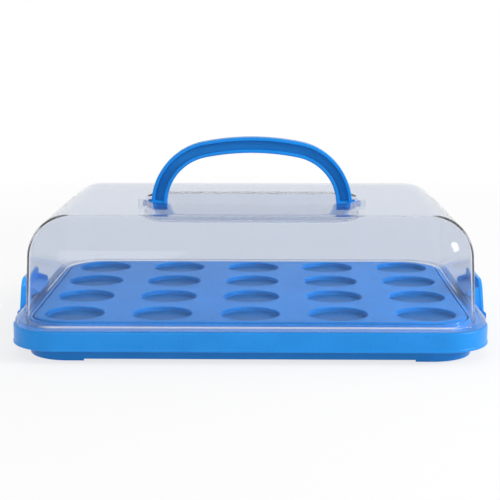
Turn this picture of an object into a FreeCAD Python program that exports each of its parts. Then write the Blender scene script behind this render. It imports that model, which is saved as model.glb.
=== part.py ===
import FreeCAD, Part
import math
import os

Vector = FreeCAD.Vector
UP = Vector(0, 0, 1)
ALONG = Vector(1, 0, 0)
ACROSS = Vector(0, 1, 0)

# Rectangular cake carrier, closed, standing on its corner feet.
# Lengths are in millimetres: X along the carrier, Y from front to back, Z up.
# The origin is on the ground under the middle of the carrier.

# Shared fits
overrun = 6.0
rest_gap = 0.3
side_gap = 0.8
running_fit = 0.06
wall = 2.4
cover_wall = 2.2

# Base: outline of the rim, and levels from the ground
rim_length = 368.0
rim_depth = 276.0
rim_corner = 39.0
rim_low = 10.0
rim_top = 25.0
rim_edge = 1.2
skirt_inset = 12.0
skirt_low = 1.6
foot_reach = 58.0
upstand_height = 3.4
floor_low = 14.0
floor_thickness = 2.5
rib_low = 5.0
rib_thickness = 1.8
ribs_along = 4
ribs_across = 3
gusset_low = 13.0
gussets_long_side = 6
gussets_short_side = 4

# Cup tray that drops into the base
tray_top = 29.6
tray_wall = 2.2
tray_edge = 2.0
well_columns = 5
well_rows = 4
well_margin_x = 31.8
well_margin_y = 29.8
well_radius_share = 0.371
well_depth = 3.8
well_sides = 24
cup_sides = 12

# Cover
cover_top = 108.0
cover_inset = 9.0
cover_corner = 36.5
cover_draft_share = 0.048
shoulder_chords = 3
flange_inset = 2.0
flange_height = 3.7
flange_plate = 2.0
flange_edge = 1.0

# Finger well in the cover's top, and the bearings for the handle
finger_well_depth = 68.0
finger_well_corner = 25.0
finger_well_sink = 14.0
finger_well_floor_edge = 3.0
finger_well_rim_edge = 2.2
boss_radius = 5.0
boss_length = 7.0

# Handle
pivot_drop = 6.0
handle_top = 159.0
handle_half_span = 84.3
handle_band = 13.0
handle_thickness = 11.0
handle_web = 4.0
handle_rib = 2.8
handle_shoulder_share = 0.947
handle_arch_share = 0.9
handle_side_gap = 3.2
trunnion_radius = 2.5
trunnion_length = 4.6
collar_radius = 4.4

# Latches at the two short ends
latch_width = 58.0
latch_top = 43.6
latch_plate = 3.0
latch_lean = 2.6
latch_corner = 8.0
latch_axis_out = 5.9
latch_axis_level = 13.0
knuckle_radius = 3.9
latch_pin_radius = 2.2
latch_pin_length = 4.6
lug_gap = 0.4
lug_thickness = 5.0
lug_radius = 4.6
lug_corner = 2.2
hook_width = 46.0
hook_grip = 3.4
hook_tip = 1.4
hook_root = 5.0

# Levels and reaches that follow from the sizes above
rim_half_length = rim_length / 2
rim_half_depth = rim_depth / 2
floor_top = floor_low + floor_thickness
pocket_inset = skirt_inset + wall
tray_inset = pocket_inset + side_gap
tray_length = rim_length - 2 * tray_inset
tray_depth = rim_depth - 2 * tray_inset
well_pitch_x = (tray_length - 2 * well_margin_x) / (well_columns - 1)
well_pitch_y = (tray_depth - 2 * well_margin_y) / (well_rows - 1)
well_radius = well_radius_share * min(well_pitch_x, well_pitch_y)
cover_low = rim_top + rest_gap
flange_top = cover_low + flange_height
finger_well_floor = cover_top - finger_well_sink
finger_well_half_length = handle_half_span + handle_side_gap
pivot_level = cover_top - pivot_drop
handle_rise = handle_top - pivot_level
handle_leg = max(handle_rise - handle_arch_share * handle_half_span, 0)
handle_shoulder = handle_shoulder_share * (handle_rise - handle_leg)
latch_axis_x = rim_half_length + latch_axis_out


def outline(length, depth, corner, level):
    """Closed wire of a rectangle with round corners, lying at a level."""
    straight_x = length / 2 - corner
    straight_y = depth / 2 - corner
    half_length = length / 2
    half_depth = depth / 2
    edges = []
    for sign_x, sign_y, start in ((1, 1, 0), (-1, 1, 90), (-1, -1, 180), (1, -1, 270)):
        middle = Vector(sign_x * straight_x, sign_y * straight_y, level)
        edges.append(Part.makeCircle(corner, middle, UP, start, start + 90))
    for sign in (-1, 1):
        left = Vector(-straight_x, sign * half_depth, level)
        right = Vector(straight_x, sign * half_depth, level)
        edges.append(Part.makeLine(left, right))
        front = Vector(sign * half_length, -straight_y, level)
        back = Vector(sign * half_length, straight_y, level)
        edges.append(Part.makeLine(front, back))
    return Part.Wire(Part.__sortEdges__(edges))


def slab(length, depth, corner, low, high):
    """Upright solid with a round-cornered outline."""
    face = Part.Face(outline(length, depth, corner, low))
    return face.extrude(Vector(0, 0, high - low))


def rim_slab(inset, low, high):
    """Upright solid whose outline lies inside the rim's outline by an inset."""
    return slab(rim_length - 2 * inset, rim_depth - 2 * inset, rim_corner - inset, low, high)


def inner_slab(inset, low, high):
    """Upright solid inside the rim's sides by an inset, with corners about the same axes as the cover's."""
    corner = cover_corner + cover_inset - inset
    return slab(rim_length - 2 * inset, rim_depth - 2 * inset, corner, low, high)


def box_between(low_corner, high_corner):
    """Box between two opposite corners."""
    size = high_corner - low_corner
    return Part.makeBox(size.x, size.y, size.z, low_corner)


def prism(profile, start, width):
    """Solid of an XZ profile, given as pairs of values, that runs along Y from a start."""
    points = [Vector(x, start, z) for x, z in profile]
    points.append(points[0])
    return Part.Face(Part.makePolygon(points)).extrude(ACROSS * width)


def many_sided(reach, sides, low, height):
    """Upright block about the Z axis with flat sides, each at a reach from the axis."""
    corner = reach / math.cos(math.pi / sides)
    turns = [2 * math.pi * index / sides for index in range(sides)]
    points = [Vector(corner * math.cos(turn), corner * math.sin(turn), low) for turn in turns]
    points.append(points[0])
    return Part.Face(Part.makePolygon(points)).extrude(UP * height)


def edges_at(shape, level):
    """Edges of a shape that lie wholly at one level."""
    tolerance = running_fit
    found = []
    for edge in shape.Edges:
        box = edge.BoundBox
        if abs(box.ZMin - level) < tolerance and abs(box.ZMax - level) < tolerance:
            found.append(edge)
    return found


def spread(count, pitch):
    """Positions of a centred row."""
    return [(index - (count - 1) / 2) * pitch for index in range(count)]


def mirrored(shape):
    """The same piece on the other short end."""
    return shape.mirror(Vector(0, 0, 0), ALONG)


def make_base():
    """Rim, ledge, pocket, floor, ribs, feet and latch lugs of one moulding."""
    rim = rim_slab(0, rim_low, rim_top)
    rim = rim.makeChamfer(rim_edge, edges_at(rim, rim_low) + edges_at(rim, rim_top))
    rim = rim.cut(rim_slab(wall, rim_low - overrun, rim_top - wall))
    skirt = inner_slab(skirt_inset, 0, rim_top + upstand_height)
    base = rim.fuse(skirt)
    base = base.cut(inner_slab(pocket_inset, floor_top, rim_top + upstand_height + overrun))
    base = base.cut(inner_slab(pocket_inset, -overrun, floor_low))
    gap_half_length = rim_half_length - foot_reach
    gap_half_depth = rim_half_depth - foot_reach
    for half_x, half_y in ((gap_half_length, rim_half_depth), (rim_half_length, gap_half_depth)):
        low_corner = Vector(-half_x, -half_y, -overrun)
        base = base.cut(box_between(low_corner, Vector(half_x, half_y, skirt_low)))
    lugs = [latch_lug(-1), latch_lug(1)]
    lugs += [mirrored(lug) for lug in lugs]
    return base.multiFuse(floor_ribs() + rim_gussets() + lugs).removeSplitter()


def floor_ribs():
    """Crossed ribs on the underside of the base's floor."""
    reach_x = rim_half_length - pocket_inset + wall / 2
    reach_y = rim_half_depth - pocket_inset + wall / 2
    high = floor_low + floor_thickness / 2
    half = rib_thickness / 2
    ribs = []
    for x in spread(ribs_along, 2 * reach_x / (ribs_along + 1)):
        ribs.append(box_between(Vector(x - half, -reach_y, rib_low), Vector(x + half, reach_y, high)))
    for y in spread(ribs_across, 2 * reach_y / (ribs_across + 1)):
        ribs.append(box_between(Vector(-reach_x, y - half, rib_low), Vector(reach_x, y + half, high)))
    return ribs


def rim_gussets():
    """Small webs between the skirt and the rim's outer band."""
    half = rib_thickness / 2
    high = rim_top - wall / 2
    near_x = rim_half_length - skirt_inset - wall / 2
    far_x = rim_half_length - wall / 2
    near_y = rim_half_depth - skirt_inset - wall / 2
    far_y = rim_half_depth - wall / 2
    webs = []
    for x in spread(gussets_long_side, 2 * (near_x - rim_corner) / (gussets_long_side - 1)):
        for sign in (-1, 1):
            low_y = min(sign * near_y, sign * far_y)
            high_y = max(sign * near_y, sign * far_y)
            webs.append(box_between(Vector(x - half, low_y, gusset_low), Vector(x + half, high_y, high)))
    for y in spread(gussets_short_side, 2 * (near_y - rim_corner) / (gussets_short_side - 1)):
        for sign in (-1, 1):
            low_x = min(sign * near_x, sign * far_x)
            high_x = max(sign * near_x, sign * far_x)
            webs.append(box_between(Vector(low_x, y - half, gusset_low), Vector(high_x, y + half, high)))
    return webs


def latch_lug(side):
    """Bearing lug beside a latch, on the right-hand end of the rim."""
    near = latch_width / 2 + lug_gap
    start = min(side * near, side * (near + lug_thickness))
    root = rim_half_length - wall / 2
    tip = latch_axis_x + lug_radius
    low = latch_axis_level - lug_radius
    high = latch_axis_level + lug_radius
    profile = [(root, low + rim_edge), (tip - lug_corner, low), (tip, low + lug_corner)]
    profile += [(tip, high - lug_corner), (tip - lug_corner, high), (root, high)]
    lug = prism(profile, start, lug_thickness)
    hole_start = Vector(latch_axis_x, start - overrun, latch_axis_level)
    hole_length = lug_thickness + 2 * overrun
    return lug.cut(Part.makeCylinder(latch_pin_radius + running_fit, hole_length, hole_start, ACROSS))


def make_cup_tray():
    """Shallow inverted tray with rows of round wells.

    The wells repeat, so they have flat sides that keep the facets few.
    """
    low = floor_top + rest_gap
    tray = inner_slab(tray_inset, low, tray_top)
    tray = tray.makeChamfer(tray_edge, edges_at(tray, tray_top))
    tray = tray.cut(inner_slab(tray_inset + tray_wall, low - overrun, tray_top - tray_wall))
    floor = tray_top - well_depth
    cup = many_sided(well_radius + tray_wall, cup_sides, floor - tray_wall, well_depth)
    well = many_sided(well_radius, well_sides, floor, well_depth)
    cups = []
    wells = []
    for x in spread(well_columns, well_pitch_x):
        for y in spread(well_rows, well_pitch_y):
            cups.append(cup.translated(Vector(x, y, 0)))
            wells.append(well.translated(Vector(x, y, 0)))
    tray = tray.multiFuse(cups)
    return tray.cut(wells).removeSplitter()


def cover_half(reach, shrink, low, top):
    """Upright half face of the cover: leaning wall and round shoulder, a reach away from the axis.

    A face with a shrink is for the hollow, whose shoulder is a row of chords.
    """
    lean = math.atan(cover_draft_share)
    low_radius = cover_corner - shrink - cover_draft_share * (low - cover_low)
    top_radius = cover_corner - shrink - cover_draft_share * (top - cover_low)
    ball = top_radius * math.cos(lean) / (1 - math.sin(lean))
    chords = shoulder_chords if shrink > 0 else 2
    shoulder = []
    for index in range(chords + 1):
        angle = lean + (math.pi / 2 - lean) * index / chords
        shoulder.append(Vector(reach + ball * math.cos(angle), 0, top - ball + ball * math.sin(angle)))
    foot = Vector(reach + low_radius, 0, low)
    axis_low = Vector(0, 0, low)
    axis_top = Vector(0, 0, top)
    edges = [Part.makeLine(foot, shoulder[0])]
    if shrink > 0:
        edges += Part.makePolygon(shoulder).Edges
    else:
        edges.append(Part.Arc(*shoulder).toShape())
    if reach > 0:
        edges.append(Part.makeLine(shoulder[-1], axis_top))
    edges += [Part.makeLine(axis_top, axis_low), Part.makeLine(axis_low, foot)]
    return Part.Face(Part.Wire(edges))


def cover_form(shrink, low, top):
    """Drafted block with a round shoulder and ball corners, smaller than the cover by a shrink."""
    straight_x = rim_half_length - cover_inset - cover_corner
    straight_y = rim_half_depth - cover_inset - cover_corner
    end = cover_half(straight_x, shrink, low, top).extrude(ACROSS * (2 * straight_y))
    end.translate(ACROSS * -straight_y)
    front = cover_half(straight_y, shrink, low, top).extrude(ACROSS * (2 * straight_x))
    front.translate(ACROSS * -straight_x)
    front.rotate(Vector(0, 0, 0), UP, 90)
    corner = cover_half(0, shrink, low, top).revolve(Vector(0, 0, 0), UP, 90)
    corner.translate(Vector(straight_x, straight_y, 0))
    pieces = [front, corner, mirrored(end), mirrored(corner)]
    for piece in (front, corner, mirrored(corner)):
        pieces.append(piece.mirror(Vector(0, 0, 0), ACROSS))
    return end.multiFuse(pieces).removeSplitter()


def finger_well(grow, top):
    """Block that fills the finger well, larger by a grow."""
    length = 2 * (finger_well_half_length + grow)
    depth = finger_well_depth + 2 * grow
    low = finger_well_floor - grow
    block = slab(length, depth, finger_well_corner + grow, low, top)
    floor_edge = finger_well_floor_edge + grow * (2 - math.sqrt(2))
    return block.makeChamfer(floor_edge, edges_at(block, low))


def make_cover():
    """Clear dome with a flange, a finger well and bearings for the handle."""
    cover = cover_form(0, cover_low, cover_top)
    cover = cover.cut(finger_well(0, cover_top + overrun))
    rim_edges = []
    for edge in edges_at(cover, cover_top):
        box = edge.BoundBox
        inside_x = max(abs(box.XMin), abs(box.XMax)) < finger_well_half_length + side_gap
        inside_y = max(abs(box.YMin), abs(box.YMax)) < finger_well_depth / 2 + side_gap
        if inside_x and inside_y:
            rim_edges.append(edge)
    cover = cover.makeChamfer(finger_well_rim_edge, rim_edges)
    hollow = cover_form(cover_wall, cover_low - overrun, cover_top - cover_wall)
    hollow = hollow.cut(finger_well(cover_wall, cover_top + overrun))
    bosses = []
    holes = []
    for side in (-1, 1):
        start = Vector(side * (finger_well_half_length + cover_wall / 2), 0, pivot_level)
        bosses.append(Part.makeCylinder(boss_radius, boss_length, start, ALONG * side))
        start = Vector(side * (finger_well_half_length - rest_gap), 0, pivot_level)
        depth = trunnion_length + 2 * rest_gap
        holes.append(Part.makeCylinder(trunnion_radius + running_fit, depth, start, ALONG * side))
    hollow = hollow.cut(bosses)
    cover = cover.cut(hollow)
    flange = rim_slab(flange_inset, cover_low, flange_top)
    flange = flange.makeChamfer(flange_edge, edges_at(flange, flange_top))
    flange = flange.cut(rim_slab(flange_inset + cover_wall, cover_low - overrun, flange_top - flange_plate))
    flange = flange.cut(cover_form(cover_wall / 2, cover_low - overrun, cover_top))
    cover = cover.fuse(flange)
    return cover.cut(holes).removeSplitter()


def arch_edges(inset, y):
    """Edges of an arch inside the handle's outer edge by an inset, from the right foot to the left.

    Three tangent arcs stand on straight legs, whose height is zero in a low handle.
    """
    spring = pivot_level + handle_leg
    rise = handle_top - spring
    reach = handle_half_span - handle_shoulder
    crown = (reach ** 2 + rise ** 2 - handle_shoulder ** 2) / (2 * (rise - handle_shoulder))
    crown_level = handle_top - crown
    joint = math.atan2(spring - crown_level, reach)
    side = handle_shoulder - inset
    arcs = ((reach, spring, side, 0, joint),
            (0, crown_level, crown - inset, joint, math.pi - joint),
            (-reach, spring, side, math.pi - joint, math.pi))
    edges = []
    for x, z, radius, start, end in arcs:
        points = []
        for angle in (start, (start + end) / 2, end):
            points.append(Vector(x + radius * math.cos(angle), y, z + radius * math.sin(angle)))
        edges.append(Part.Arc(*points).toShape())
    if handle_leg > 0:
        drop = UP * -handle_leg
        right = edges[0].Vertexes[0].Point
        left = edges[-1].Vertexes[-1].Point
        edges.insert(0, Part.makeLine(right + drop, right))
        edges.append(Part.makeLine(left, left + drop))
    return edges


def arch_band(outer_inset, inner_inset, thickness, y):
    """Solid band between two arches that lie inside the handle's outer edge."""
    outer = arch_edges(outer_inset, y)
    inner = arch_edges(inner_inset, y)
    right = Part.makeLine(outer[0].Vertexes[0].Point, inner[0].Vertexes[0].Point)
    left = Part.makeLine(outer[-1].Vertexes[-1].Point, inner[-1].Vertexes[-1].Point)
    face = Part.Face(Part.Wire(Part.__sortEdges__(outer + [left] + inner + [right])))
    return face.extrude(ACROSS * thickness)


def make_handle():
    """Arched handle of H section with round leg ends and two trunnions."""
    half = handle_thickness / 2
    handle = arch_band(0, handle_band, handle_thickness, -half)
    recess = half - handle_web / 2
    for start in (-half - overrun, handle_web / 2):
        handle = handle.cut(arch_band(handle_rib, handle_band - handle_rib, recess + overrun, start))
    pieces = []
    for side in (-1, 1):
        start = Vector(side * (handle_half_span - handle_band), 0, pivot_level)
        pieces.append(Part.makeCylinder(half, handle_band, start, ALONG * side))
        start = Vector(side * (handle_half_span - handle_rib), 0, pivot_level)
        length = finger_well_half_length - rest_gap - abs(start.x)
        pieces.append(Part.makeCylinder(collar_radius, length, start, ALONG * side))
        length = finger_well_half_length + trunnion_length - rest_gap - abs(start.x)
        pieces.append(Part.makeCylinder(trunnion_radius, length, start, ALONG * side))
    return handle.multiFuse(pieces).removeSplitter()


def make_latch():
    """Latch of the right-hand end: knuckle, plate, hook and two moulded pins."""
    half = latch_width / 2
    plate_low_out = latch_axis_x + knuckle_radius
    plate_top_out = plate_low_out - latch_lean
    profile = [(plate_low_out, latch_axis_level), (plate_top_out, latch_top)]
    profile += [(plate_top_out - latch_plate, latch_top), (plate_low_out - latch_plate, latch_axis_level)]
    latch = prism(profile, -half, latch_width)
    latch = latch.makeFillet(latch_corner, top_corner_edges(latch))
    axis_start = Vector(latch_axis_x, -half, latch_axis_level)
    knuckle = Part.makeCylinder(knuckle_radius, latch_width, axis_start, ACROSS)
    pin_start = axis_start - ACROSS * latch_pin_length
    pin = Part.makeCylinder(latch_pin_radius, latch_width + 2 * latch_pin_length, pin_start, ACROSS)
    return latch.multiFuse([knuckle, pin, latch_hook()]).removeSplitter()


def top_corner_edges(latch):
    """Short edges through the plate at its two top corners."""
    found = []
    for edge in latch.Edges:
        box = edge.BoundBox
        if box.ZMin > latch_top - latch_plate and box.YLength < running_fit:
            found.append(edge)
    return found


def latch_hook():
    """Hook that reaches over the cover's flange."""
    under = flange_top + rest_gap
    tip = rim_half_length - flange_inset - hook_grip
    profile = [(latch_axis_x, under), (tip, under), (tip, under + hook_tip)]
    profile.append((latch_axis_x, under + hook_root))
    return prism(profile, -hook_width / 2, hook_width)


os.makedirs("parts", exist_ok=True)
right_latch = make_latch()
shapes = {
    "base_tray": make_base(),
    "cup_tray": make_cup_tray(),
    "cover": make_cover(),
    "handle": make_handle(),
    "right_latch": right_latch,
    "left_latch": mirrored(right_latch),
}
for name, shape in shapes.items():
    solid = shape.Solids[0]
    if len(shape.Solids) > 1 or not solid.isValid():
        raise ValueError("the piece " + name + " is not one sound solid")
    solid.exportStep("parts/" + name + ".step")
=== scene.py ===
import math

import bmesh
import bpy
from bpy.props import FloatProperty, FloatVectorProperty, IntProperty, PointerProperty
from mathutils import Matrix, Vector


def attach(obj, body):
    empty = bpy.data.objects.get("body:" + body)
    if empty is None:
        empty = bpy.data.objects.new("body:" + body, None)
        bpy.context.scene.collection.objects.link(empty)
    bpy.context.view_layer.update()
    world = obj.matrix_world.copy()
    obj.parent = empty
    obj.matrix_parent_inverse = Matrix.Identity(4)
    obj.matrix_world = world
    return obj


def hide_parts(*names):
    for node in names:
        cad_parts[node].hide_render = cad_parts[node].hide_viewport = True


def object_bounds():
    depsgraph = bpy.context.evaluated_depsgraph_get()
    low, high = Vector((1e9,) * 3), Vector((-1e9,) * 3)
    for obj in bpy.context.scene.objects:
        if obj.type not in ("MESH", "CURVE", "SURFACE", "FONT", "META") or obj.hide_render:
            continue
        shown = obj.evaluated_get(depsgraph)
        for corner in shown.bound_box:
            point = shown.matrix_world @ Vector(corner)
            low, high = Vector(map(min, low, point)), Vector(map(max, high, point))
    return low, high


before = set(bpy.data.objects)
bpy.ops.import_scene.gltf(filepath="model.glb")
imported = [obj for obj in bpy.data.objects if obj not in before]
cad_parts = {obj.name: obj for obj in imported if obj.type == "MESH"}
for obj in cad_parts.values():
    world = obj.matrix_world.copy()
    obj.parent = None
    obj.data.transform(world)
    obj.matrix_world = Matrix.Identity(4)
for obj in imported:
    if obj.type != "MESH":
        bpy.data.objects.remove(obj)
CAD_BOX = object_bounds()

bl_info = {
    "name": "Cake carrier looks",
    "version": (1, 0, 0),
    "blender": (4, 5, 0),
    "location": "View3D > Sidebar > Carrier",
    "description": "Builds the moulded pieces of a cake carrier over its solids",
    "category": "Object",
}


# Small lengths, in metres: a cutter's overrun, room round a pin, a pin's edge, and points that become one
OVERRUN = 0.006
BORE_GAP = 0.00006
PIN_ROUND = 0.0005
CLOSE_POINTS = 1e-6
SAME_POINT = 1e-7

# Degrees between two faces above which their edge stays sharp
CREASE = 34

# Camera and lights: places and sizes in metres, angles in degrees, lens and sensor in millimetres
CAMERA_PLACE = (0.0133, -1.0249, 0.2509)
CAMERA_PITCH = 10.4
CAMERA_YAW = 0.824
CAMERA_LENS = 88.25
CAMERA_SENSOR = 36
KEY_PLACE = (1.45, -0.45, 0.75)
KEY_SIZE = 0.5
FILL_PLACE = (-0.5, -1.5, 0.45)
FILL_SIZE = 0.7
LIT_PLACE = (0, 0, 0.05)
FLOOR_HALF = 30.0


def length(name, millimetres, description):
    """A size that a user may change, kept in metres."""
    return FloatProperty(name=name, description=description, default=millimetres / 1000, unit="LENGTH")


def count(name, value, description, least):
    """A number of like things that a user may change."""
    return IntProperty(name=name, description=description, default=value, min=least)


def power(name, watts, description):
    """The power of a light that a user may change."""
    return FloatProperty(name=name, description=description, default=watts, unit="POWER")


def colour(name, value, description):
    """A linear colour that a user may change."""
    return FloatVectorProperty(name=name, description=description, default=value, subtype="COLOR", size=3)


class CarrierRim(bpy.types.PropertyGroup):
    """Outline that the base, the tray and the cover share, and the levels of the base"""

    half_length: length("Half length", 184, "From the middle to the short end of the rim")
    half_depth: length("Half depth", 138, "From the middle to the long side of the rim")
    corner: length("Corner", 39, "Radius of the rim's corner, seen from above")
    inner_corner: length("Inner corner", 45.5, "Corner radius of the inner outlines, at the rim's sides")
    band_reach: length("Band reach", 6, "Outlines nearer to the outside follow the rim's corner")
    low: length("Rim bottom", 10, "Level of the rim's lower edge")
    top: length("Rim top", 25, "Level of the ledge that the cover stands on")
    wall: length("Wall", 2.4, "Thickness of the base")
    skirt_inset: length("Skirt inset", 12, "From the rim's outside to the skirt's outside")
    upstand: length("Upstand", 3.4, "Height of the edge that stands inside the cover")
    foot_step: length("Foot step", 1.6, "Height of the corner feet")
    foot_reach: length("Foot reach", 58, "From the rim's outside to the end of a foot")
    floor_low: length("Floor underside", 14, "Level of the underside of the floor")
    floor_top: length("Floor top", 16.5, "Level that the tray stands above")
    rib_low: length("Rib bottom", 5, "Level of the lower edge of the floor's ribs")
    rib: length("Rib thickness", 1.8, "Thickness of the ribs and webs")
    ribs_across: count("Ribs across", 4, "Ribs under the floor from front to back", 1)
    ribs_along: count("Ribs along", 3, "Ribs under the floor along the carrier", 1)
    webs_long: count("Webs on a long side", 6, "Webs between the skirt and one long side of the rim", 2)
    webs_short: count("Webs on a short end", 4, "Webs between the skirt and one short end of the rim", 2)
    web_lift: length("Web lift", 3, "From the rim's lower edge up to a web")
    edge: length("Edge round", 1.3, "Radius of the rim's outer edges")
    lip: length("Lip", 0.5, "How far the rim's lower lip stands out from its band")
    lip_height: length("Lip height", 1.6, "Height of the rim's lower lip")
    corner_steps: count("Corner steps", 18, "Faces round one corner", 6)


class CarrierTray(bpy.types.PropertyGroup):
    """Drop-in tray with round wells"""

    inset: length("Inset", 15.2, "From the rim's outside to the tray's outside")
    low: length("Bottom", 16.8, "Level of the tray's lower edge")
    top: length("Top", 29.6, "Level of the tray's top face")
    wall: length("Wall", 2.2, "Thickness of the tray")
    edge: length("Edge round", 2.4, "Radius of the tray's top edge")
    pitch_x: length("Pitch along", 68.5, "From well to well along the carrier")
    pitch_y: length("Pitch across", 62, "From well to well across the carrier")
    well_radius: length("Well radius", 23, "Radius of a well")
    well_depth: length("Well depth", 3.8, "Depth of a well")
    well_round: length("Well round", 1.6, "Radius where a well's wall meets its floor")
    lip_round: length("Lip round", 1.1, "Radius of a well's lip")
    columns: count("Columns", 5, "Wells along the carrier", 1)
    rows: count("Rows", 4, "Wells across the carrier", 1)
    well_sides: count("Well sides", 56, "Faces round one well", 12)


class CarrierCover(bpy.types.PropertyGroup):
    """Clear cover with its flange and finger well"""

    low: length("Bottom", 25.3, "Level of the flange's lower edge")
    top: length("Top", 108, "Level of the flat top")
    inset: length("Wall inset", 9, "From the rim's outside to the foot of the wall")
    wall: length("Wall", 2.2, "Thickness of the cover")
    draft: FloatProperty(name="Draft", description="Lean of the wall, in per one of height", default=0.048)
    flange_inset: length("Flange inset", 2, "From the rim's outside to the flange's outside")
    flange_top: length("Flange top", 29, "Level of the flange's top face")
    flange_under: length("Flange underside", 27, "Level of the flange's hollow underside")
    well_half_length: length("Well half length", 87.5, "Half the length of the finger well")
    well_half_depth: length("Well half depth", 34, "Half the width of the finger well")
    well_corner: length("Well corner", 25, "Radius of the finger well's corner")
    well_floor: length("Well floor", 94, "Level of the finger well's floor")
    well_round: length("Well round", 3, "Radius along the rim and the floor of the finger well")
    boss_radius: length("Boss radius", 5, "Radius of a bearing behind the finger well's end")
    boss_length: length("Boss length", 7, "Length of a bearing from the middle of the finger well's wall")
    bore_radius: length("Bore radius", 2.56, "Radius of a bearing's bore")
    shoulder_steps: count("Shoulder steps", 20, "Faces over the shoulder", 6)


class CarrierHandle(bpy.types.PropertyGroup):
    """Arched handle of H section"""

    pivot: length("Pivot level", 102, "Level of the hinge line")
    top: FloatProperty(
        name="Top", description="Highest level of the arch", default=CAD_BOX[1].z, unit="LENGTH")
    half_span: length("Half span", 84.3, "From the middle to the outside of a leg")
    shoulder: length("Shoulder", 53.98, "Radius of the arch near its legs")
    band: length("Band", 13, "Height of the section")
    thickness: length("Thickness", 11, "Width of the section")
    web: length("Web", 4, "Thickness of the web between the ribs")
    rib: length("Rib", 2.8, "Thickness of the two ribs")
    edge: length("Edge round", 0.8, "Radius of the section's edges")
    collar_radius: length("Collar radius", 4.4, "Radius of the collar beside a leg")
    pin_radius: length("Pin radius", 2.5, "Radius of the pin that the handle turns on")
    collar_end: length("Collar end", 87.2, "Reach of the collar from the middle")
    pin_end: length("Pin end", 91.8, "Reach of the pin from the middle")


class CarrierLatch(bpy.types.PropertyGroup):
    """Hinged latch, the same at both short ends"""

    axis_x: length("Axis reach", 189.9, "From the middle to the hinge line")
    axis_z: length("Axis level", 13, "Level of the hinge line")
    width: length("Width", 58, "Width of the plate")
    top: length("Top", 43.6, "Level of the plate's top edge")
    plate: length("Plate", 3, "Thickness of the plate")
    lean: length("Lean", 2.6, "How far the plate leans towards the cover")
    corner: length("Corner", 8, "Radius of the plate's top corners")
    knuckle: length("Knuckle", 3.9, "Radius of the knuckle round the hinge line")
    pin: length("Pin", 2.2, "Radius of the pins")
    pin_length: length("Pin length", 4.6, "Reach of a pin beyond the plate")
    hook_width: length("Hook width", 46, "Width of the hook over the flange")
    hook_low: length("Hook level", 29.3, "Level of the hook's underside")
    hook_tip_x: length("Hook reach", 178.6, "From the middle to the hook's tip")
    hook_tip: length("Hook tip", 1.4, "Thickness of the hook at its tip")
    hook_root: length("Hook root", 5, "Thickness of the hook at the plate")
    edge: length("Edge round", 0.7, "Radius of the plate's edges")
    side_wall: length("Side wall", 2.4, "Thickness of the walls along the plate's two sides")
    side_reach: length("Side reach", 9.5, "From the hinge line in to the side walls' upper part")
    side_foot: length("Side foot", 4.7, "From the hinge line in to the side walls' lower part")
    lug_gap: length("Lug gap", 0.4, "Room between the plate and a lug")
    lug: length("Lug", 5, "Thickness of a bearing lug")
    lug_radius: length("Lug radius", 4.6, "Reach of a lug round the hinge line")


class CarrierColours(bpy.types.PropertyGroup):
    """Colours of the plastics and the stage, and the level of the light"""

    base: colour("Base", (0.004, 0.245, 0.70), "Blue of the base")
    tray: colour("Tray", (0.004, 0.205, 0.60), "Blue of the tray")
    handle: colour("Handle", (0.010, 0.270, 0.80), "Blue of the handle")
    latch: colour("Latch", (0.018, 0.34, 0.90), "Blue of the latches")
    cover: colour("Cover", (0.785, 0.815, 0.875), "Tint of the clear cover")
    floor: colour("Floor", (0.93, 0.93, 0.935), "Colour of the floor")
    key_power: power("Key light", 17.0, "Power of the light on the right")
    fill_power: power("Fill light", 3.5, "Power of the light in front")


def link(name, vertices, faces):
    """A new mesh object with its faces turned outwards."""
    mesh = bpy.data.meshes.new(name)
    mesh.from_pydata(vertices, [], faces)
    build = bmesh.new()
    build.from_mesh(mesh)
    bmesh.ops.remove_doubles(build, verts=build.verts, dist=SAME_POINT)
    bmesh.ops.recalc_face_normals(build, faces=build.faces)
    build.to_mesh(mesh)
    build.free()
    piece = bpy.data.objects.new(name, mesh)
    bpy.context.scene.collection.objects.link(piece)
    return piece


def loft(name, loops, wrap=False):
    """Skin over loops of equal count, closed into a ring or capped at both ends."""
    sides = len(loops[0])
    vertices = [point for loop in loops for point in loop]
    faces = []
    rows = len(loops) if wrap else len(loops) - 1
    for row in range(rows):
        here = row * sides
        there = (row + 1) % len(loops) * sides
        for index in range(sides):
            after = (index + 1) % sides
            faces.append((here + index, here + after, there + after, there + index))
    if not wrap:
        faces.append(tuple(range(sides - 1, -1, -1)))
        faces.append(tuple(range(len(vertices) - sides, len(vertices))))
    return link(name, vertices, faces)


def ring(half_length, half_depth, corner, level, steps):
    """Points round a rectangle with round corners, at one level."""
    points = []
    for quarter in range(4):
        sign_x = 1 if quarter in (0, 3) else -1
        sign_y = 1 if quarter in (0, 1) else -1
        for step in range(steps + 1):
            angle = math.pi / 2 * (quarter + step / steps)
            x = sign_x * (half_length - corner) + corner * math.cos(angle)
            y = sign_y * (half_depth - corner) + corner * math.sin(angle)
            points.append((x, y, level))
    return points


def rim_ring(inset, level):
    """Ring inside the rim's sides by an inset."""
    rim = bpy.context.scene.carrier_rim
    corner = (rim.corner if inset < rim.band_reach else rim.inner_corner) - inset
    return ring(rim.half_length - inset, rim.half_depth - inset, corner, level, rim.corner_steps)


def spread(number, pitch):
    """Places of like things about the middle, a pitch apart."""
    return [(index - (number - 1) / 2) * pitch for index in range(number)]


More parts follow.
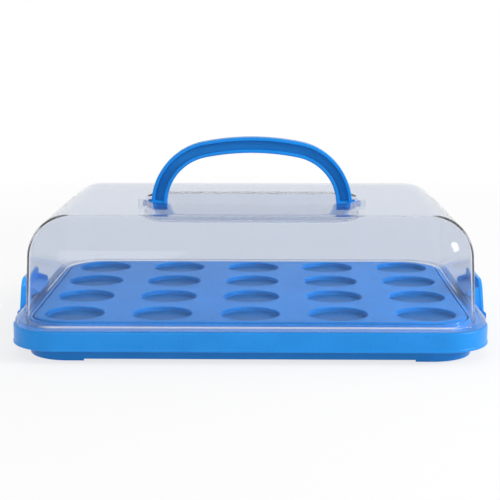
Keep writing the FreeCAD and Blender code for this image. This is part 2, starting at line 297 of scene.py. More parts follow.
def rounded(corners, steps=5, closed=True):
    """Flat outline whose corners, each with its radius, become arcs."""
    outline = []
    last = len(corners) - 1
    for index, (a, b, radius) in enumerate(corners):
        here = Vector((a, b))
        if radius <= 0 or not closed and index in (0, last):
            outline.append((a, b))
            continue
        to_last = (Vector(corners[index - 1][:2]) - here).normalized()
        to_next = (Vector(corners[(index + 1) % len(corners)][:2]) - here).normalized()
        half = to_last.angle(to_next) / 2
        middle = here + (to_last + to_next).normalized() * (radius / math.sin(half))
        start = here + to_last * (radius / math.tan(half)) - middle
        sweep = start.angle_signed(here + to_next * (radius / math.tan(half)) - middle)
        first = math.atan2(start.y, start.x)
        for step in range(steps + 1):
            angle = first - sweep * step / steps
            outline.append((middle.x + radius * math.cos(angle), middle.y + radius * math.sin(angle)))
    return outline


def block(name, low, high):
    """Plain block between two corners, for joining or cutting."""
    loops = []
    for z in (low[2], high[2]):
        near = [(low[0], low[1], z), (high[0], low[1], z)]
        far = [(high[0], high[1], z), (low[0], high[1], z)]
        loops.append(near + far)
    return loft(name, loops)


def turned(name, profile, place, axis, steps=40):
    """Round form about an axis through a place, from pairs of reach along the axis and radius."""
    along = Vector(axis).normalized()
    side = along.orthogonal().normalized()
    other = along.cross(side)
    loops = []
    for reach, radius in profile:
        loop = []
        for step in range(steps):
            angle = 2 * math.pi * step / steps
            spoke = side * math.cos(angle) + other * math.sin(angle)
            loop.append(tuple(Vector(place) + along * reach + spoke * radius))
        loops.append(loop)
    return loft(name, loops)


def extruded(name, outline, low, high):
    """Form of an outline in X and Z that runs along Y."""
    loops = []
    for y in (low, high):
        loops.append([(x, y, z) for x, z in outline])
    return loft(name, loops)


def combine(piece, others, operation):
    """Joins other forms to a piece, or cuts them from it, and removes them."""
    for other in others:
        step = piece.modifiers.new(other.name, "BOOLEAN")
        step.operation = operation
        step.solver = "EXACT"
        step.object = other
    bpy.context.view_layer.update()
    graph = bpy.context.evaluated_depsgraph_get()
    made = bpy.data.meshes.new_from_object(piece.evaluated_get(graph))
    old = piece.data
    piece.modifiers.clear()
    piece.data = made
    made.name = old.name
    bpy.data.meshes.remove(old)
    for other in others:
        mesh = other.data
        bpy.data.objects.remove(other)
        bpy.data.meshes.remove(mesh)
    if not made.polygons:
        raise RuntimeError(piece.name + " was left empty by a cut or a join")
    return piece


def settle(piece, body, node, material):
    """Smooths a finished piece and puts it on its body in place of the plain solid."""
    build = bmesh.new()
    build.from_mesh(piece.data)
    bmesh.ops.remove_doubles(build, verts=build.verts, dist=CLOSE_POINTS)
    bmesh.ops.dissolve_degenerate(build, edges=build.edges, dist=SAME_POINT)
    bmesh.ops.recalc_face_normals(build, faces=build.faces)
    build.to_mesh(piece.data)
    build.free()
    piece.data.shade_smooth()
    piece.data.set_sharp_from_angle(angle=math.radians(CREASE))
    weighted = piece.modifiers.new("even_normals", "WEIGHTED_NORMAL")
    weighted.keep_sharp = True
    piece.data.materials.clear()
    piece.data.materials.append(material)
    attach(piece, body)
    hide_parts(node)


def new_material(name):
    """Empty node material with its Principled shader and output."""
    material = bpy.data.materials.new(name)
    material.use_nodes = True
    nodes = material.node_tree.nodes
    nodes.clear()
    shader = nodes.new("ShaderNodeBsdfPrincipled")
    output = nodes.new("ShaderNodeOutputMaterial")
    material.node_tree.links.new(shader.outputs["BSDF"], output.inputs["Surface"])
    return material, shader, output


def noise(material, scale, detail):
    """Noise over the object's own coordinates, in metres."""
    nodes = material.node_tree.nodes
    place = nodes.new("ShaderNodeTexCoord")
    texture = nodes.new("ShaderNodeTexNoise")
    texture.inputs["Scale"].default_value = scale
    texture.inputs["Detail"].default_value = detail
    material.node_tree.links.new(place.outputs["Object"], texture.inputs["Vector"])
    return texture.outputs["Fac"]


def ramp(material, source, low, high):
    """Grey or colour ramp between two values of a source."""
    node = material.node_tree.nodes.new("ShaderNodeValToRGB")
    node.color_ramp.elements[0].position = 0.3
    node.color_ramp.elements[1].position = 0.7
    node.color_ramp.elements[0].color = (*low, 1)
    node.color_ramp.elements[1].color = (*high, 1)
    material.node_tree.links.new(source, node.inputs["Fac"])
    return node.outputs["Color"]


def relief(material, shader, source, strength, distance):
    """Fine relief on a shader."""
    node = material.node_tree.nodes.new("ShaderNodeBump")
    node.inputs["Strength"].default_value = strength
    node.inputs["Distance"].default_value = distance
    material.node_tree.links.new(source, node.inputs["Height"])
    material.node_tree.links.new(node.outputs["Normal"], shader.inputs["Normal"])


def grey(level):
    """Colour of equal parts."""
    return (level, level, level)


def moulded_plastic(name, tint, gloss=0.3):
    """Gloss coloured plastic with a faint cloud in its colour and a fine moulded skin."""
    material, shader, _ = new_material(name)
    links = material.node_tree.links
    cloud = noise(material, scale=35, detail=4)
    deep = tuple(0.94 * part for part in tint)
    pale = tuple(min(1.05 * part + 0.004, 1) for part in tint)
    links.new(ramp(material, cloud, deep, pale), shader.inputs["Base Color"])
    skin = noise(material, scale=420, detail=3)
    links.new(ramp(material, skin, grey(0.27), grey(0.37)), shader.inputs["Roughness"])
    grain = noise(material, scale=1500, detail=2)
    relief(material, shader, grain, strength=0.06, distance=0.0004)
    shader.inputs["IOR"].default_value = 1.49
    shader.inputs["Specular IOR Level"].default_value = gloss
    return material


def arithmetic(owner, operation, first, second):
    """Result of an operation on two values, each a number or a socket."""
    node = owner.node_tree.nodes.new("ShaderNodeMath")
    node.operation = operation
    for index, value in enumerate((first, second)):
        if isinstance(value, (int, float)):
            node.inputs[index].default_value = value
        else:
            owner.node_tree.links.new(value, node.inputs[index])
    return node.outputs["Value"]


def graded(material, source, near, far, low, high):
    """Factor that runs from low to high while a source runs from near to far."""
    node = material.node_tree.nodes.new("ShaderNodeMapRange")
    node.inputs["From Min"].default_value = near
    node.inputs["From Max"].default_value = far
    node.inputs["To Min"].default_value = low
    node.inputs["To Max"].default_value = high
    material.node_tree.links.new(source, node.inputs["Value"])
    return node.outputs["Result"]


def reach_along(material, axis):
    """Distance from the object's own origin along one axis."""
    nodes = material.node_tree.nodes
    place = nodes.new("ShaderNodeTexCoord")
    parts = nodes.new("ShaderNodeSeparateXYZ")
    material.node_tree.links.new(place.outputs["Object"], parts.inputs["Vector"])
    return arithmetic(material, "ABSOLUTE", parts.outputs[axis], 0)


def paint_shade(material, factor):
    """Paints shade into a material by multiplying its colour by a factor."""
    nodes = material.node_tree.nodes
    links = material.node_tree.links
    shader = nodes["Principled BSDF"]
    clouded = shader.inputs["Base Color"].links[0].from_socket
    mix = nodes.new("ShaderNodeMix")
    mix.data_type = "RGBA"
    mix.blend_type = "MULTIPLY"
    mix.inputs["Factor"].default_value = 1
    # Sockets 6, 7 and 2 are the colour ones among the mix node's sockets of the same name.
    links.new(clouded, mix.inputs[6])
    links.new(factor, mix.inputs[7])
    links.new(mix.outputs[2], shader.inputs["Base Color"])


def clear_plastic(name, tint, flange):
    """Clear plastic that lets the lamps through, milkier at the flange with this reach in X, Y and Z, and
    with a painted highlight along the flange's top edge.
    """
    material, shader, output = new_material(name)
    nodes = material.node_tree.nodes
    links = material.node_tree.links
    haze = noise(material, scale=24, detail=3)
    deep = tuple(0.985 * part for part in tint)
    links.new(ramp(material, haze, deep, tint), shader.inputs["Base Color"])
    skin = noise(material, scale=160, detail=3)
    links.new(ramp(material, skin, grey(0.04), grey(0.08)), shader.inputs["Roughness"])
    shader.inputs["IOR"].default_value = 1.02
    shader.inputs["Coat Weight"].default_value = 0.33
    shader.inputs["Coat Roughness"].default_value = 0.05
    # The flange's outer edge, seen through its depth, is milkier than the walls, and most of all at its top,
    # where the extra milk is a painted highlight line.
    side_start, side_full = 0.003, 0.0005
    top_start, top_full = 0.0014, 0.0004
    edges = []
    for axis, reach in zip("XY", flange):
        away = reach_along(material, axis)
        edges.append(graded(material, away, reach - side_start, reach - side_full, low=0, high=1))
    edge = arithmetic(material, "MAXIMUM", *edges)
    level = reach_along(material, "Z")
    milk_and_highlight = graded(material, level, flange[2] - top_start, flange[2] - top_full, low=0.15, high=0.65)
    clear = arithmetic(material, "SUBTRACT", 0.994, arithmetic(material, "MULTIPLY", edge, milk_and_highlight))
    links.new(clear, shader.inputs["Transmission Weight"])
    through = nodes.new("ShaderNodeBsdfTransparent")
    through.inputs["Color"].default_value = (0.93, 0.94, 0.96, 1)
    path = nodes.new("ShaderNodeLightPath")
    mix = nodes.new("ShaderNodeMixShader")
    links.new(path.outputs["Is Shadow Ray"], mix.inputs["Fac"])
    links.new(shader.outputs["BSDF"], mix.inputs[1])
    links.new(through.outputs["BSDF"], mix.inputs[2])
    links.new(mix.outputs["Shader"], output.inputs["Surface"])
    return material


class CARRIER_OT_base_tray(bpy.types.Operator):
    """Builds the base: rim, skirt with feet, upstand, floor, ribs and latch lugs"""

    bl_idname = "carrier.base_tray"
    bl_label = "Base"

    def execute(self, context):
        rim = context.scene.carrier_rim
        high = rim.top + rim.upstand
        pocket = rim.skirt_inset + rim.wall
        channel = rim.top - rim.wall
        small, medium, large = (rim.edge * share for share in (0.4, 0.5, 0.6))
        section = rounded([
            (0, rim.low, rim.lip), (0, rim.low + rim.lip_height, rim.lip),
            (rim.lip, rim.low + rim.lip_height + rim.lip, rim.lip), (rim.lip, rim.top, rim.edge),
            (rim.skirt_inset, rim.top, medium), (rim.skirt_inset, high, large),
            (pocket, high, large), (pocket, 0, small),
            (rim.skirt_inset, 0, large), (rim.skirt_inset, channel, medium),
            (rim.wall, channel, medium), (rim.wall, rim.low, medium)])
        base = loft("base_moulding", [rim_ring(inset, level) for inset, level in section], wrap=True)
        gap_x = rim.half_length - rim.foot_reach
        gap_y = rim.half_depth - rim.foot_reach
        steps = [
            block("front_gap", (-gap_x, -rim.half_depth, -OVERRUN), (gap_x, rim.half_depth, rim.foot_step)),
            block("end_gap", (-rim.half_length, -gap_y, -OVERRUN), (rim.half_length, gap_y, rim.foot_step))]
        combine(base, steps, "DIFFERENCE")
        inside = pocket - rim.wall / 2
        added = [loft("floor", [rim_ring(inside, rim.floor_low), rim_ring(inside, rim.floor_top)])]
        added += self.ribs(rim, inside)
        added += self.webs(rim)
        added += self.lugs(context)
        combine(base, added, "UNION")
        tint = context.scene.carrier_colours.base
        settle(base, "base", "base_tray", moulded_plastic("base_blue", tint))
        return {"FINISHED"}

    def ribs(self, rim, inside):
        """Crossed ribs under the floor."""
        reach_x = rim.half_length - inside
        reach_y = rim.half_depth - inside
        top = (rim.floor_low + rim.floor_top) / 2
        half = rim.rib / 2
        found = []
        for x in spread(rim.ribs_across, 2 * reach_x / (rim.ribs_across + 1)):
            found.append(block("rib_across", (x - half, -reach_y, rim.rib_low), (x + half, reach_y, top)))
        for y in spread(rim.ribs_along, 2 * reach_y / (rim.ribs_along + 1)):
            found.append(block("rib_along", (-reach_x, y - half, rim.rib_low), (reach_x, y + half, top)))
        return found

    def webs(self, rim):
        """Small webs between the skirt and the rim's outer band."""
        half = rim.rib / 2
        low = rim.low + rim.web_lift
        top = rim.top - rim.wall / 2
        near_x = rim.half_length - rim.skirt_inset - rim.wall / 2
        near_y = rim.half_depth - rim.skirt_inset - rim.wall / 2
        pitch_x = 2 * (near_x - rim.corner) / (rim.webs_long - 1)
        pitch_y = 2 * (near_y - rim.corner) / (rim.webs_short - 1)
        found = []
        for sign in (-1, 1):
            edges = sorted((sign * near_y, sign * (rim.half_depth - rim.wall / 2)))
            for x in spread(rim.webs_long, pitch_x):
                found.append(block("web", (x - half, edges[0], low), (x + half, edges[1], top)))
            edges = sorted((sign * near_x, sign * (rim.half_length - rim.wall / 2)))
            for y in spread(rim.webs_short, pitch_y):
                found.append(block("web", (edges[0], y - half, low), (edges[1], y + half, top)))
        return found

    def lugs(self, context):
        """Bearing lugs beside both latches, with their bores."""
        rim = context.scene.carrier_rim
        latch = context.scene.carrier_latch
        reach = latch.lug_radius
        root = rim.half_length - rim.wall / 2
        tip = latch.axis_x + reach
        low = latch.axis_z - reach
        top = latch.axis_z + reach
        round_share = 0.48
        soft = reach * round_share
        shape = rounded([(root, low + rim.edge, 0), (tip, low, soft), (tip, top, soft), (root, top, 0)])
        found = []
        for sign_x in (-1, 1):
            for sign_y in (-1, 1):
                near = latch.width / 2 + latch.lug_gap
                low_y, high_y = sorted((sign_y * near, sign_y * (near + latch.lug)))
                lug = extruded("lug", [(sign_x * x, z) for x, z in shape], low_y, high_y)
                place = (sign_x * latch.axis_x, low_y, latch.axis_z)
                radius = latch.pin + BORE_GAP
                bore = turned("bore", [(-OVERRUN, radius), (latch.lug + OVERRUN, radius)], place, (0, 1, 0))
                found.append(combine(lug, [bore], "DIFFERENCE"))
        return found


class CARRIER_OT_cup_tray(bpy.types.Operator):
    """Builds the drop-in tray with its rows of round wells"""

    bl_idname = "carrier.cup_tray"
    bl_label = "Cup tray"

    def execute(self, context):
        tray = context.scene.carrier_tray
        edge_steps = 6
        outside = [rim_ring(tray.inset, tray.low)]
        for step in range(edge_steps + 1):
            angle = math.pi / 2 * step / edge_steps
            inset = tray.inset + tray.edge * (1 - math.cos(angle))
            outside.append(rim_ring(inset, tray.top - tray.edge * (1 - math.sin(angle))))
        body = loft("welled_tray", outside)
        under = tray.top - tray.wall
        inside = tray.inset + tray.wall
        hollow = loft("underside", [rim_ring(inside, tray.low - OVERRUN), rim_ring(inside, under)])
        floor = tray.top - tray.well_depth
        well_shape = self.well_shape(tray, floor)
        outer = tray.well_radius + tray.wall
        bevel_share = 0.6
        cup_shape = [
            (floor - tray.wall, outer - tray.well_round), (floor - tray.wall * bevel_share, outer),
            (under + OVERRUN, outer)]
        wells = []
        cups = []
        for x in spread(tray.columns, tray.pitch_x):
            for y in spread(tray.rows, tray.pitch_y):
                wells.append(turned("well", well_shape, (x, y, 0), (0, 0, 1), tray.well_sides))
                cups.append(turned("cup", cup_shape, (x, y, 0), (0, 0, 1), tray.well_sides))
        combine(hollow, cups, "DIFFERENCE")
        combine(body, [hollow] + wells, "DIFFERENCE")
        tint = context.scene.carrier_colours.tray
        material = moulded_plastic("tray_blue", tint, gloss=0.08)
        # Painted shade: the tray's colour darkens down each well, from full just below the top to 0.6 of
        # itself at the well's floor.
        below_top = 0.0004
        level = reach_along(material, "Z")
        paint_shade(material, graded(material, level, floor, tray.top - below_top, low=0.6, high=1))
        settle(body, "tray", "cup_tray", material)
        return {"FINISHED"}

    def well_shape(self, tray, floor):
        """Level and radius from a well's floor up its wall and out over its lip."""
        radius = tray.well_radius
        lip = tray.lip_round
        lip_steps = 5
        middle_share = 0.2
        over_share = 1.3
        start = (floor, radius * middle_share, 0)
        shape = rounded([start, (floor, radius, tray.well_round), (tray.top, radius, 0)], 5, False)
        shape.pop()
        for step in range(1, lip_steps + 1):
            angle = math.pi / 2 * step / lip_steps
            shape.append((tray.top - lip * (1 - math.sin(angle)), radius + lip * (1 - math.cos(angle))))
        shape.append((tray.top + OVERRUN, radius + lip * over_share))
        return shape


class CARRIER_OT_cover(bpy.types.Operator):
    """Builds the clear cover: flange, leaning walls, round shoulder, finger well and bearings"""

    bl_idname = "carrier.cover"
    bl_label = "Cover"

    def execute(self, context):
        cover = context.scene.carrier_cover
        rim = context.scene.carrier_rim
        handle = context.scene.carrier_handle
        lean = math.atan(cover.draft)
        corner = rim.inner_corner - cover.inset
        ball = (corner - cover.draft * (cover.top - cover.low)) * math.cos(lean) / (1 - math.sin(lean))
        loops = self.inner_skin(cover, rim, lean, ball) + self.outer_skin(cover, rim, lean, ball)
        shell = loft("clear_cover", loops)
        round_share = 0.12
        room = 0.0006
        bosses = []
        bores = []
        for side in (-1, 1):
            place = (side * cover.well_half_length, 0, handle.pivot)
            start = cover.wall / 2
            end = start + cover.boss_length
            soft = cover.boss_radius * round_share
            boss = [
                (start, cover.boss_radius), (end - soft, cover.boss_radius), (end, cover.boss_radius - soft)]
            bosses.append(turned("boss", boss, place, (side, 0, 0)))
            reach = handle.pin_end - cover.well_half_length + room
            bore = [(-room, cover.bore_radius), (reach, cover.bore_radius)]
            bores.append(turned("bore", bore, place, (side, 0, 0)))
        combine(shell, bosses, "UNION")
        combine(shell, bores, "DIFFERENCE")
        tint = context.scene.carrier_colours.cover
        outside = cover.flange_inset
        flange = (rim.half_length - outside, rim.half_depth - outside, cover.flange_top)
        material = clear_plastic("milky_clear", tint, flange)
        settle(shell, "cover", "cover", material)
        return {"FINISHED"}

    def well_ring(self, grow, level):
        """Ring outside the finger well's wall by a grow."""
        cover = bpy.context.scene.carrier_cover
        steps = bpy.context.scene.carrier_rim.corner_steps
        length_half = cover.well_half_length + grow
        return ring(length_half, cover.well_half_depth + grow, cover.well_corner + grow, level, steps)

    def shoulder(self, cover, rim, lean, ball, radius):
        """Rings over the round shoulder, from the wall up to nearly the flat top."""
        last = math.radians(88.5)
        loops = []
        for step in range(cover.shoulder_steps + 1):
            angle = lean + (last - lean) * step / cover.shoulder_steps
            inset = rim.inner_corner - radius * math.cos(angle)
            loops.append(rim_ring(inset, cover.top - ball + radius * math.sin(angle)))
        return loops

    def arc(self, middle_grow, middle_level, radius, first, last):
        """Rings round one edge of the finger well, between two angles in degrees."""
        steps = 6
        loops = []
        for step in range(steps + 1):
            angle = math.radians(first + (last - first) * step / steps)
            grow = middle_grow + radius * math.cos(angle)
            loops.append(self.well_ring(grow, middle_level + radius * math.sin(angle)))
        return loops

    def inner_skin(self, cover, rim, lean, ball):
        """Rings from the underside of the finger well out and down to the foot of the wall."""
        soft = cover.well_round
        floor_arc = cover.well_floor + soft
        loops = self.arc(-soft, floor_arc, soft + cover.wall, -90, 0)
        loops += self.arc(soft, cover.top - soft, soft - cover.wall, 180, 90)
        loops += reversed(self.shoulder(cover, rim, lean, ball, ball - cover.wall))
        loops.append(rim_ring(cover.inset + cover.wall, cover.low))
        return loops

    def outer_skin(self, cover, rim, lean, ball):
        """Rings from the foot of the wall round the flange, up the wall and into the finger well."""
        join = cover.inset + cover.draft * (cover.flange_top - cover.low)
        wall_top = cover.top - ball + ball * math.sin(lean)
        wall_inset = rim.inner_corner - ball * math.cos(lean)
        lip = cover.flange_inset + cover.wall
        slant = 0.0001
        foot, hollow, outer, brow, root = 0.0004, 0.0003, 0.0005, 0.001, 0.0012
        profile = rounded([
            (cover.inset + cover.wall / 2, cover.low, 0), (cover.inset, cover.low, foot),
            (cover.inset + slant, cover.flange_under, hollow), (lip, cover.flange_under, hollow),
            (lip, cover.low, foot), (cover.flange_inset, cover.low, outer),
            (cover.flange_inset, cover.flange_top, brow), (join, cover.flange_top, root),
            (wall_inset, wall_top, 0)], 4, False)
        loops = [rim_ring(inset, level) for inset, level in profile[:-1]]
        loops += self.shoulder(cover, rim, lean, ball, ball)
        soft = cover.well_round
        loops += self.arc(soft, cover.top - soft, soft, 90, 180)
        loops += self.arc(-soft, cover.well_floor + soft, soft, 0, -90)
        return loops


class CARRIER_OT_handle(bpy.types.Operator):
    """Builds the arched handle with its ribs, web, collars and pins"""

    bl_idname = "carrier.handle"
    bl_label = "Handle"

    def execute(self, context):
        handle = context.scene.carrier_handle
        arch = loft("arched_handle", self.stations(handle))
        pins = []
        for side in (-1, 1):
            place = (0, 0, handle.pivot)
            start = handle.half_span - handle.rib
            collar = handle.collar_radius
            pin = handle.pin_radius
            shape = [
                (start, collar), (handle.collar_end - PIN_ROUND, collar),
                (handle.collar_end, collar - PIN_ROUND), (handle.collar_end, pin),
                (handle.pin_end - PIN_ROUND, pin), (handle.pin_end, pin - PIN_ROUND)]
            pins.append(turned("pin", shape, place, (side, 0, 0)))
        combine(arch, pins, "UNION")
        tint = context.scene.carrier_colours.handle
        material = moulded_plastic("handle_blue", tint, gloss=0.12)
        # Painted shade: the handle's colour is darker on the web between the ribs, 0.7 of itself at the web
        # and full at the ribs' faces.
        below_face = 0.0003
        rib_face = handle.thickness / 2 - below_face
        width = reach_along(material, "Y")
        paint_shade(material, graded(material, width, handle.web / 2, rib_face, low=0.7, high=1))
        settle(arch, "handle", "handle", material)
        return {"FINISHED"}

    def section(self, handle):
        """Outline of the H section: depth from the outer edge, and side."""
        half = handle.thickness / 2
        web = handle.web / 2
        near = handle.rib
        far = handle.band - handle.rib
        edge = handle.edge
        inner = edge * 0.6
        root = edge * 0.8
        front = [(near, half, inner), (near, web, root), (far, web, root), (far, half, inner)]
        back = [(depth, -side, radius) for depth, side, radius in reversed(front)]
        outer_rib = [(0, -half, edge), (0, half, edge)]
        inner_rib = [(handle.band, half, edge), (handle.band, -half, edge)]
        return rounded(outer_rib + front + inner_rib + back, 4)

    def stations(self, handle):
        """Sections along the arch, from the round end of the right leg to that of the left leg."""
        half = handle.thickness / 2
        rise = handle.top - handle.pivot
        reach = handle.half_span - handle.shoulder
        crown = (reach ** 2 + rise ** 2 - handle.shoulder ** 2) / (2 * (rise - handle.shoulder))
        crown_level = handle.top - crown
        joint = math.degrees(math.atan2(handle.pivot - crown_level, reach))
        places = []
        for turn in (88, *range(80, 0, -10)):
            drop = half * math.sin(math.radians(turn))
            places.append((handle.half_span, handle.pivot - drop, 0, math.cos(math.radians(turn)), half))
        # Degrees along the arch, close together where the full section of the leg's end runs out.
        angles = [0, 1, 2, 3, 4, 4.6, 5.2, 5.7, 7.5]
        pitch = 2.5
        while angles[-1] + pitch < joint:
            angles.append(angles[-1] + pitch)
        for angle in angles:
            turn = math.radians(angle)
            x = reach + handle.shoulder * math.cos(turn)
            z = handle.pivot + handle.shoulder * math.sin(turn)
            rise_here = min(z - handle.pivot, half)
            places.append((x, z, angle, 1, math.sqrt(half ** 2 - rise_here ** 2)))
        crown_steps = 8
        for step in range(crown_steps + 1):
            angle = joint + (90 - joint) * step / crown_steps
            turn = math.radians(angle)
            places.append((crown * math.cos(turn), crown_level + crown * math.sin(turn), angle, 1, 0))
        left = [(-x, z, 180 - angle, flat, fill) for x, z, angle, flat, fill in reversed(places[:-1])]
        outline = self.section(handle)
        soft = handle.edge
        loops = []
        for x, z, angle, flat, fill in places + left:
            turn = math.radians(angle)
            loop = []
            for depth, side in outline:
                if handle.rib - soft < depth < handle.band - handle.rib + soft:
                    side = math.copysign(max(abs(side), fill), side)
                loop.append((x - depth * math.cos(turn), side * flat, z - depth * math.sin(turn)))
            loops.append(loop)
        return loops


class CARRIER_OT_latches(bpy.types.Operator):
    """Builds the hinged latch of each short end"""

    bl_idname = "carrier.latches"
    bl_label = "Latches"

    def execute(self, context):
        tint = context.scene.carrier_colours.latch
        material = moulded_plastic("latch_blue", tint)
        for side, name in ((-1, "left_latch"), (1, "right_latch")):
            latch = self.plate(context.scene.carrier_latch, side, name)
            combine(latch, self.fittings(context.scene.carrier_latch, side), "UNION")
            settle(latch, name, name, material)
        return {"FINISHED"}

    def plate(self, latch, side, name):
        """Leaning plate with two round top corners and soft edges."""
        slope = latch.lean / (latch.top - latch.axis_z)
        outer = latch.axis_x + latch.knuckle
        edge_steps = 4
        loops = []
        layers = []
        for step in range(edge_steps + 1):
            angle = math.pi / 2 * step / edge_steps
            layers.append((latch.edge * (1 - math.sin(angle)), latch.edge * (1 - math.cos(angle))))
        layers += [(inset, latch.plate - depth) for inset, depth in reversed(layers)]
        for inset, depth in layers:
            half = latch.width / 2 - inset
            top = latch.top - inset
            corner = latch.corner - inset
            foot = [(-half, latch.axis_z, 0), (half, latch.axis_z, 0)]
            shape = rounded(foot + [(half, top, corner), (-half, top, corner)], 10)
            loop = []
            for y, z in shape:
                x = outer - depth - slope * (z - latch.axis_z)
                loop.append((side * x, y, z))
            loops.append(loop)
        return loft(name + "_moulding", loops)

    def fittings(self, latch, side):
        """Hook, side walls, knuckle and pins of a latch."""
        under, over = 0.0003, 0.0006
        hook = rounded([
            (latch.axis_x, latch.hook_low, 0), (latch.hook_tip_x, latch.hook_low, under),
            (latch.hook_tip_x, latch.hook_low + latch.hook_tip, over),
            (latch.axis_x, latch.hook_low + latch.hook_root, 0)], 4)
        half = latch.hook_width / 2
        found = [extruded("hook", [(side * x, z) for x, z in hook], -half, half)]
        found += self.side_walls(latch, side)
        place = (side * latch.axis_x, 0, latch.axis_z)
        half = latch.width / 2
        end = half + latch.pin_length
        right = [
            (half - PIN_ROUND, latch.knuckle), (half, latch.knuckle - PIN_ROUND), (half, latch.pin),
            (end - PIN_ROUND, latch.pin), (end, latch.pin - PIN_ROUND)]
        left = [(-reach, radius) for reach, radius in reversed(right)]
        found.append(turned("knuckle", left + right, place, (0, 1, 0)))
        return found

    def side_walls(self, latch, side):
        """Walls along the plate's two sides, which close the view between the plate and the cover."""
        slope = latch.lean / (latch.top - latch.axis_z)
        middle = latch.axis_x + latch.knuckle - latch.plate / 2
        shoulder = latch.top - latch.corner
        near = latch.axis_x - latch.side_foot
        tip = latch.axis_x - latch.side_reach
        foot, step, crown = 0.0015, 0.001, 0.0025
        drop, rise = 0.001, 0.002
        shape = rounded([
            (middle, latch.axis_z + latch.pin, 0), (near, latch.axis_z + latch.pin, foot),
            (near, latch.hook_low, step), (tip, latch.hook_low + latch.hook_tip, step),
            (tip, shoulder - drop, crown),
            (middle - slope * (shoulder - latch.axis_z), shoulder + rise, 0)], 5)
        outer = latch.width / 2 - latch.edge / 2
        inner = latch.width / 2 - latch.side_wall
        found = []
        for sign in (-1, 1):
            low, high = sorted((sign * inner, sign * outer))
            found.append(extruded("side_wall", [(side * x, z) for x, z in shape], low, high))
        return found


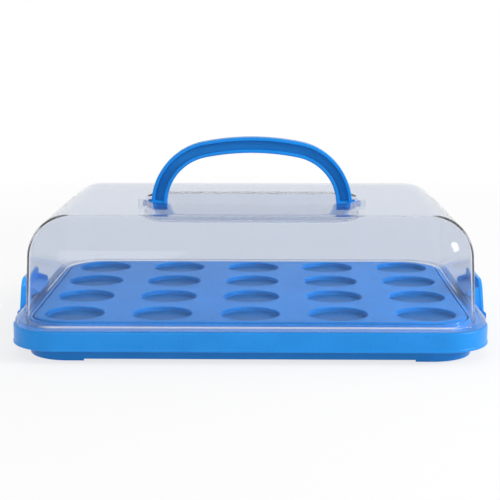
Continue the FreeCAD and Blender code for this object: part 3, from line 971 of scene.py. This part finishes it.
class CARRIER_OT_stage(bpy.types.Operator):
    """Sets the floor, the light, the white surround and the camera"""

    bl_idname = "carrier.stage"
    bl_label = "Stage"

    def execute(self, context):
        scene = context.scene
        scene.view_settings.view_transform = "Standard"
        self.surround(scene)
        self.floor(scene)
        colours = scene.carrier_colours
        self.lamp("key", KEY_PLACE, KEY_SIZE, colours.key_power)
        self.lamp("fill", FILL_PLACE, FILL_SIZE, colours.fill_power)
        lens = bpy.data.cameras.new("camera")
        lens.sensor_width = CAMERA_SENSOR
        lens.lens = CAMERA_LENS
        lens.dof.use_dof = False
        camera = bpy.data.objects.new("camera", lens)
        camera.location = CAMERA_PLACE
        camera.rotation_euler = (math.radians(90 - CAMERA_PITCH), 0, math.radians(CAMERA_YAW))
        scene.collection.objects.link(camera)
        scene.camera = camera
        return {"FINISHED"}

    def seen(self, owner):
        """One where a camera, mirror or glass ray looks, and zero for other light."""
        path = owner.node_tree.nodes.new("ShaderNodeLightPath")
        total = path.outputs["Is Camera Ray"]
        for name in ("Is Glossy Ray", "Is Transmission Ray"):
            total = arithmetic(owner, "MAXIMUM", total, path.outputs[name])
        return total

    def surround(self, scene):
        """White world for the eye, mirrors and clear plastic, and a soft level for the rest."""
        world = bpy.data.worlds.new("surround")
        world.use_nodes = True
        nodes = world.node_tree.nodes
        links = world.node_tree.links
        nodes.clear()
        seen = nodes.new("ShaderNodeBackground")
        seen.inputs["Strength"].default_value = 1
        light = nodes.new("ShaderNodeBackground")
        light.inputs["Strength"].default_value = 0.66
        for node in (seen, light):
            node.inputs["Color"].default_value = (1, 1, 1, 1)
        mix = nodes.new("ShaderNodeMixShader")
        output = nodes.new("ShaderNodeOutputWorld")
        links.new(self.seen(world), mix.inputs["Fac"])
        links.new(light.outputs["Background"], mix.inputs[1])
        links.new(seen.outputs["Background"], mix.inputs[2])
        links.new(mix.outputs["Shader"], output.inputs["Surface"])
        scene.world = world

    def floor(self, scene):
        """Large pale floor that stays white to the eye and keeps a soft shadow."""
        half = FLOOR_HALF
        corners = [(-half, -half, 0), (half, -half, 0), (half, half, 0), (-half, half, 0)]
        floor = link("floor", corners, [(0, 1, 2, 3)])
        material, shader, output = new_material("pale_floor")
        nodes = material.node_tree.nodes
        links = material.node_tree.links
        tint = scene.carrier_colours.floor
        shade = tuple(0.99 * part for part in tint)
        cloud = noise(material, scale=6, detail=3)
        links.new(ramp(material, cloud, shade, tint), shader.inputs["Base Color"])
        shader.inputs["Roughness"].default_value = 0.9
        glow = nodes.new("ShaderNodeEmission")
        glow.inputs["Strength"].default_value = 1
        place = nodes.new("ShaderNodeTexCoord")
        reach = nodes.new("ShaderNodeVectorMath")
        reach.operation = "LENGTH"
        links.new(place.outputs["Object"], reach.inputs[0])
        fade = graded(material, reach.outputs["Value"], near=0.25, far=1.1, low=0.74, high=1)
        mix = nodes.new("ShaderNodeMixShader")
        links.new(arithmetic(material, "MULTIPLY", self.seen(material), fade), mix.inputs["Fac"])
        links.new(shader.outputs["BSDF"], mix.inputs[1])
        links.new(glow.outputs["Emission"], mix.inputs[2])
        links.new(mix.outputs["Shader"], output.inputs["Surface"])
        floor.data.materials.append(material)

    def lamp(self, name, place, size, watts):
        """Soft square light that faces the carrier."""
        light = bpy.data.lights.new(name, "AREA")
        light.size = size
        light.energy = watts
        lamp = bpy.data.objects.new(name, light)
        lamp.location = place
        lamp.rotation_euler = (Vector(LIT_PLACE) - Vector(place)).to_track_quat("-Z", "Y").to_euler()
        bpy.context.scene.collection.objects.link(lamp)


class CARRIER_PT_sidebar(bpy.types.Panel):
    """Lists the carrier's pieces and their sizes"""

    bl_idname = "CARRIER_PT_sidebar"
    bl_label = "Cake carrier"
    bl_space_type = "VIEW_3D"
    bl_region_type = "UI"
    bl_category = "Carrier"

    def draw(self, context):
        for operator in OPERATORS:
            self.layout.operator(operator.bl_idname)
        for name in SETTINGS:
            group = getattr(context.scene, name)
            box = self.layout.box()
            for key in group.bl_rna.properties.keys():
                if key not in ("rna_type", "name"):
                    box.prop(group, key)


SETTINGS = {
    "carrier_rim": CarrierRim,
    "carrier_tray": CarrierTray,
    "carrier_cover": CarrierCover,
    "carrier_handle": CarrierHandle,
    "carrier_latch": CarrierLatch,
    "carrier_colours": CarrierColours,
}
OPERATORS = (
    CARRIER_OT_base_tray,
    CARRIER_OT_cup_tray,
    CARRIER_OT_cover,
    CARRIER_OT_handle,
    CARRIER_OT_latches,
    CARRIER_OT_stage,
)
CLASSES = (*SETTINGS.values(), *OPERATORS, CARRIER_PT_sidebar)


def register():
    """Registers the classes and puts the settings on the scene."""
    for item in CLASSES:
        bpy.utils.register_class(item)
    for name, group in SETTINGS.items():
        setattr(bpy.types.Scene, name, PointerProperty(type=group))


def unregister():
    """Takes the settings and classes away again."""
    for name in SETTINGS:
        delattr(bpy.types.Scene, name)
    for item in reversed(CLASSES):
        bpy.utils.unregister_class(item)


def main():
    """Builds all pieces and the stage."""
    register()
    bpy.ops.carrier.base_tray()
    bpy.ops.carrier.cup_tray()
    bpy.ops.carrier.cover()
    bpy.ops.carrier.handle()
    bpy.ops.carrier.latches()
    bpy.ops.carrier.stage()


if __name__ == "__main__":
    main()
